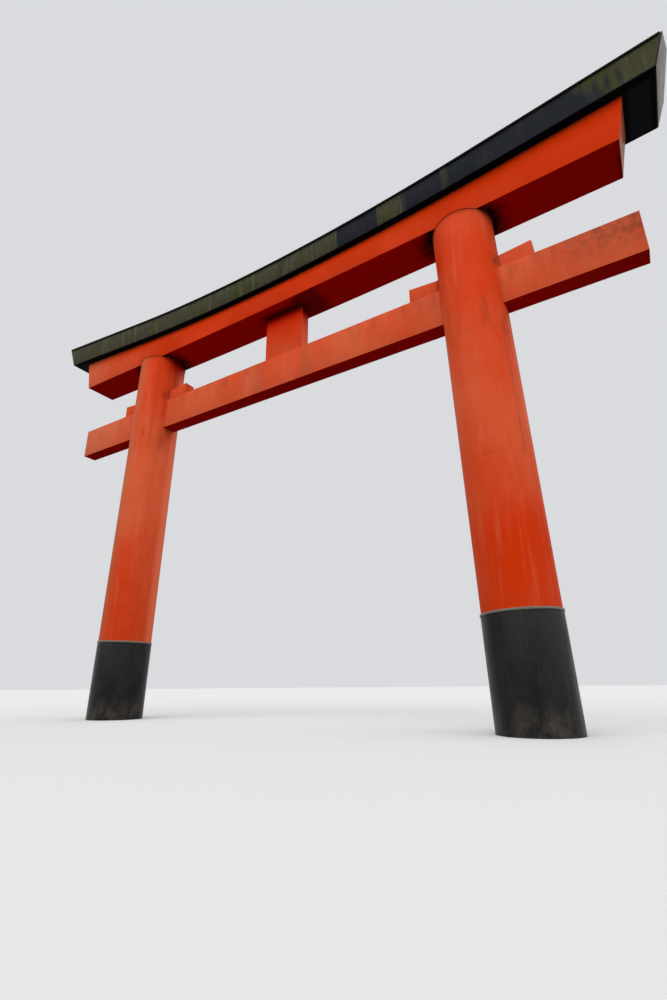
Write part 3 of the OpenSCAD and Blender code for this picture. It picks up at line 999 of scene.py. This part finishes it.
# %% [markdown]
# ## Collars where the tie beam passes through the posts
# A flat beam that enters a round post meets it along a curve, and the weld follows that curve. The
# collar is what simple shapes have in common: two joined boxes, a little larger than the beam and its
# wedges, and a tube, a little larger than the post. Boolean modifiers find it, and the beam fills the
# inside.

# %% Collars on the posts
# Height of the wedges where they enter the post
WEDGE_ENTRY = 0.33
# The boxes reach this far past the post, and the tube is longer than the boxes are high
COLLAR_MARGIN = 0.1
TUBE_LENGTH = 2.4
# Rounding of the collar's edges
COLLAR_EDGE = LEG / 3


def combine(piece, other, operation):
    """Unites or intersects a piece with another, which is used up."""
    only(piece)
    change = piece.modifiers.new("Combine", "BOOLEAN")
    change.object = other
    change.operation = operation
    change.solver = "EXACT"
    bpy.ops.object.modifier_apply(modifier=change.name)
    bpy.data.objects.remove(other, do_unlink=True)


wedge_low, wedge_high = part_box("right_inner_wedge")
axis_out = HALF_SPACING - TIE_HEIGHT * POST_LEAN
grown = Vector((POST_RADIUS + COLLAR_MARGIN, LEG, LEG))
for side, word in SIDES:
    name = "post_collar_" + word
    axis = GATE_MIDDLE + side * axis_out
    collar = block(name, Vector((axis, *tie_low.yz)) - grown, Vector((axis, *tie_high.yz)) + grown)
    over = block("wedge_part", Vector((axis, wedge_low.y, tie_low.z)) - grown,
                 Vector((axis, wedge_high.y, tie_high.z + WEDGE_ENTRY)) + grown)
    combine(collar, over, "UNION")
    bpy.ops.mesh.primitive_cylinder_add(
        vertices=ROUND_STEPS, radius=POST_RADIUS + LEG, depth=TUBE_LENGTH,
        rotation=(0, -side * math.atan(POST_LEAN), 0), location=(axis, 0, TIE_HEIGHT))
    combine(collar, bpy.context.object, "INTERSECT")
    round_edges(collar, COLLAR_EDGE)
    hand_over(collar, post_paint)

# %% [markdown]
# ## Welded splices of the long beams
# The lintel and the cap beam came to the site in three lengths and were welded together in the air.
# The weld was dressed but not ground away, so a band as wide as a thumb stands a few millimetres
# proud all the way round. Each band is a slice, cut from a copy of the beam and then fattened.

# %% Splice bands
BAND_WIDTH = 0.022
BAND_PROUD = 0.003
BAND_EDGE = 0.0025


def splice_band(node, name, side, finish):
    """A slice off the end of a middle length, moved to straddle the joint and made a little larger."""
    band = merged_copy(node, name)
    joint = GATE_MIDDLE + side * SPLICE
    edit_whole(band)
    bpy.ops.mesh.bisect(
        plane_co=(joint - side * BAND_WIDTH, 0, 0), plane_no=(side, 0, 0), use_fill=True,
        clear_inner=True, clear_outer=False)
    bpy.ops.mesh.select_all(action="SELECT")
    bpy.ops.mesh.normals_make_consistent(inside=False)
    bpy.ops.object.mode_set(mode="OBJECT")
    spans = list(zip(*[vertex.co for vertex in band.data.vertices]))
    low = Vector([min(span) for span in spans])
    high = Vector([max(span) for span in spans])
    size = high - low
    edit_whole(band)
    wider = (1, 1 + 2 * BAND_PROUD / size.y, 1 + 2 * BAND_PROUD / size.z)
    bpy.ops.transform.resize(value=wider, center_override=(low + high) / 2)
    half = BAND_WIDTH / 2
    bpy.ops.transform.translate(value=(side * half, 0, half * SPLICE / CAP_CURVE))
    bpy.ops.object.mode_set(mode="OBJECT")
    round_edges(band, BAND_EDGE)
    hand_over(band, finish)


for side, word in SIDES:
    splice_band("lintel_middle", "lintel_splice_" + word, side, lintel_paint)
    splice_band("cap_beam_middle", "cap_splice_" + word, side, cap_paint)

# %% [markdown]
# ## Laps of the roof sheets
# Sheet comes in narrow lengths, so a roof this long has a lap about every 1.1 m, covered by a low strip
# that runs from the ridge down to the eave. One strip with a chamfered top is modelled lying flat. Each
# copy is stretched to its slope, rolled to the rise of the roof there, tipped down the slope, and on
# the back turned half round. Rolling comes first, so that every strip runs straight across the gate.

# %% Slope of the roof
# The cap beam's top at the middle of the gate, and the sheets on it
EAVE_HALF = 0.692
EAVE_HEIGHT = 11.754
OVERHANG = 0.028
SIDE_SLANT = 0.094
SHEET_THICKNESS = 0.0127
roof_slope = (RIDGE_HEIGHT - EAVE_HEIGHT) / EAVE_HALF
roof_angle = math.atan(roof_slope)
# How far the strips reach in under the ridge strip
LAP_TUCK = 0.02
lap_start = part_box("ridge_strip_middle")[1].y - LAP_TUCK


def eave_at(out):
    """How far out the sheet's edge lies from the ridge at this distance from the gate's middle."""
    ridge = RIDGE_HEIGHT + rise(RIDGE_CURVE, out)
    return (EAVE_HALF + OVERHANG + SIDE_SLANT * (ridge - EAVE_HEIGHT)) / (1 + SIDE_SLANT * roof_slope)


def slope_length(out):
    """Length of the strip, measured down the slope."""
    return (eave_at(out) - lap_start) / math.cos(roof_angle)


print("roof slope", round(math.degrees(roof_angle), 1), "degrees")

# %% One strip
LAP_WIDTH = 0.036
LAP_HEIGHT = 0.008
# Share of the strip's width and length that its top keeps
LAP_TOP = (0.6, 0.992, 1)
# How far the strip reaches down into the sheet
LAP_SEAT = 0.004


def lap_model():
    """A flat strip with a chamfered top, lying along -y from the origin."""
    length = slope_length(0)
    half = LAP_WIDTH / 2
    strip = block("roof_lap", Vector((-half, -length, -LAP_SEAT)), Vector((half, 0, LAP_HEIGHT)))
    select_faces(strip, lambda normal: normal.z > 0.9)
    bpy.ops.transform.resize(value=LAP_TOP, center_override=(0, -length / 2, LAP_HEIGHT))
    bpy.ops.object.mode_set(mode="OBJECT")
    return strip


model = lap_model()
print("strip", [round(side, 3) for side in model.dimensions])

# %% Strips over the laps
LAP_SPACING = SPLICE / 5
LAPS_A_SIDE = 8
LAP_EDGE = 0.0015


def place_lap(model, station, facing):
    """A copy of the strip on the front (1) or back (-1) slope, this far along from the gate's middle."""
    out = abs(station)
    climb = math.copysign(min(out, SPLICE) / RIDGE_CURVE, station)
    top = RIDGE_HEIGHT + rise(RIDGE_CURVE, out) + SHEET_THICKNESS / math.cos(roof_angle)
    lap = model.copy()
    lap.data = model.data.copy()
    bpy.context.scene.collection.objects.link(lap)
    lap.scale.y = slope_length(out) / slope_length(0)
    lap.rotation_mode = "YXZ"
    roll = -facing * math.atan(climb * math.cos(roof_angle))
    lap.rotation_euler = (roof_angle, roll, 0 if facing > 0 else math.pi)
    lap.location = (GATE_MIDDLE + station, -facing * lap_start, top - lap_start * roof_slope)
    return lap


stations = [LAP_SPACING * count for count in range(-LAPS_A_SIDE, LAPS_A_SIDE + 1)]
for face_name, facing in (("front", 1), ("back", -1)):
    laps = [place_lap(model, station, facing) for station in stations]
    only(laps[0])
    for lap in laps:
        lap.select_set(True)
    bpy.ops.object.transform_apply(location=True, rotation=True, scale=True)
    bpy.ops.object.join()
    joined = bpy.context.object
    joined.name = face_name + "_roof_laps"
    joined.rotation_mode = "XYZ"
    round_edges(joined, LAP_EDGE)
    hand_over(joined, roof_sheet)
bpy.data.objects.remove(model, do_unlink=True)

# %% [markdown]
# ## Floor and light
# The gate is shown on a plain pale floor under soft light. Underneath, the lintel is a deep red,
# because a road throws little light back up. So the floor looks pale to the camera and in
# reflections, and acts as dark as asphalt for the light that it scatters. The sky is an even white.
# Two very soft suns, a stronger one in front and a weaker one to the right, tell the faces apart.

# %% Floor
PALE_FLOOR = (0.55, 0.55, 0.55)
ROAD_BOUNCE = (0.13, 0.13, 0.13)
FLOOR_SIZE = 900
# Just under the feet, so that they don't flicker
FLOOR_HEIGHT = -0.002


def in_view(graph):
    """1 for what the camera sees, straight on or in a reflection, and 0 for the light that is cast."""
    seen = add(graph, "ShaderNodeLightPath").outputs
    return either(seen["Is Camera Ray"], seen["Is Glossy Ray"], seen["Is Transmission Ray"])


bpy.ops.mesh.primitive_plane_add(size=FLOOR_SIZE, location=(GATE_MIDDLE, 0, FLOOR_HEIGHT))
floor = bpy.context.object
floor.name = "floor"
ground = bpy.data.materials.new("Pale floor")
ground.use_nodes = True
floor_sockets = ground.node_tree.nodes["Principled BSDF"].inputs
wire(mixed(in_view(ground.node_tree), ROAD_BOUNCE, PALE_FLOOR), floor_sockets["Base Color"])
floor_sockets["Roughness"].default_value = 0.9
floor_sockets["Specular IOR Level"].default_value = 0.0
floor.data.materials.append(ground)
print("floor at", floor.location.z)

# %% Sky and sun
SKY_LIGHT = (1.0, 1.0, 1.0)
SKY_SEEN = (0.7, 0.71, 0.73)
sky = bpy.data.worlds.new("Even sky")
bpy.context.scene.world = sky
sky.use_nodes = True
background = sky.node_tree.nodes["Background"]
wire(mixed(in_view(sky.node_tree), SKY_LIGHT, SKY_SEEN), background.inputs["Color"])
background.inputs["Strength"].default_value = 1.0

# Name, strength, spread and turn of each lamp
SOFT_LAMPS = (
    ("Front sun", 1.4, 70, (50, 0, -10)),
    ("Right sun", 1.35, 90, (58, 0, 75)),
)
for name, strength, spread, turned in SOFT_LAMPS:
    sun_data = bpy.data.lights.new(name, "SUN")
    sun_data.energy = strength
    sun_data.angle = math.radians(spread)
    sun = bpy.data.objects.new(name, sun_data)
    bpy.context.scene.collection.objects.link(sun)
    sun.rotation_euler = [math.radians(angle) for angle in turned]
    print(name, "strength", strength)
bpy.context.scene.view_settings.view_transform = "Standard"
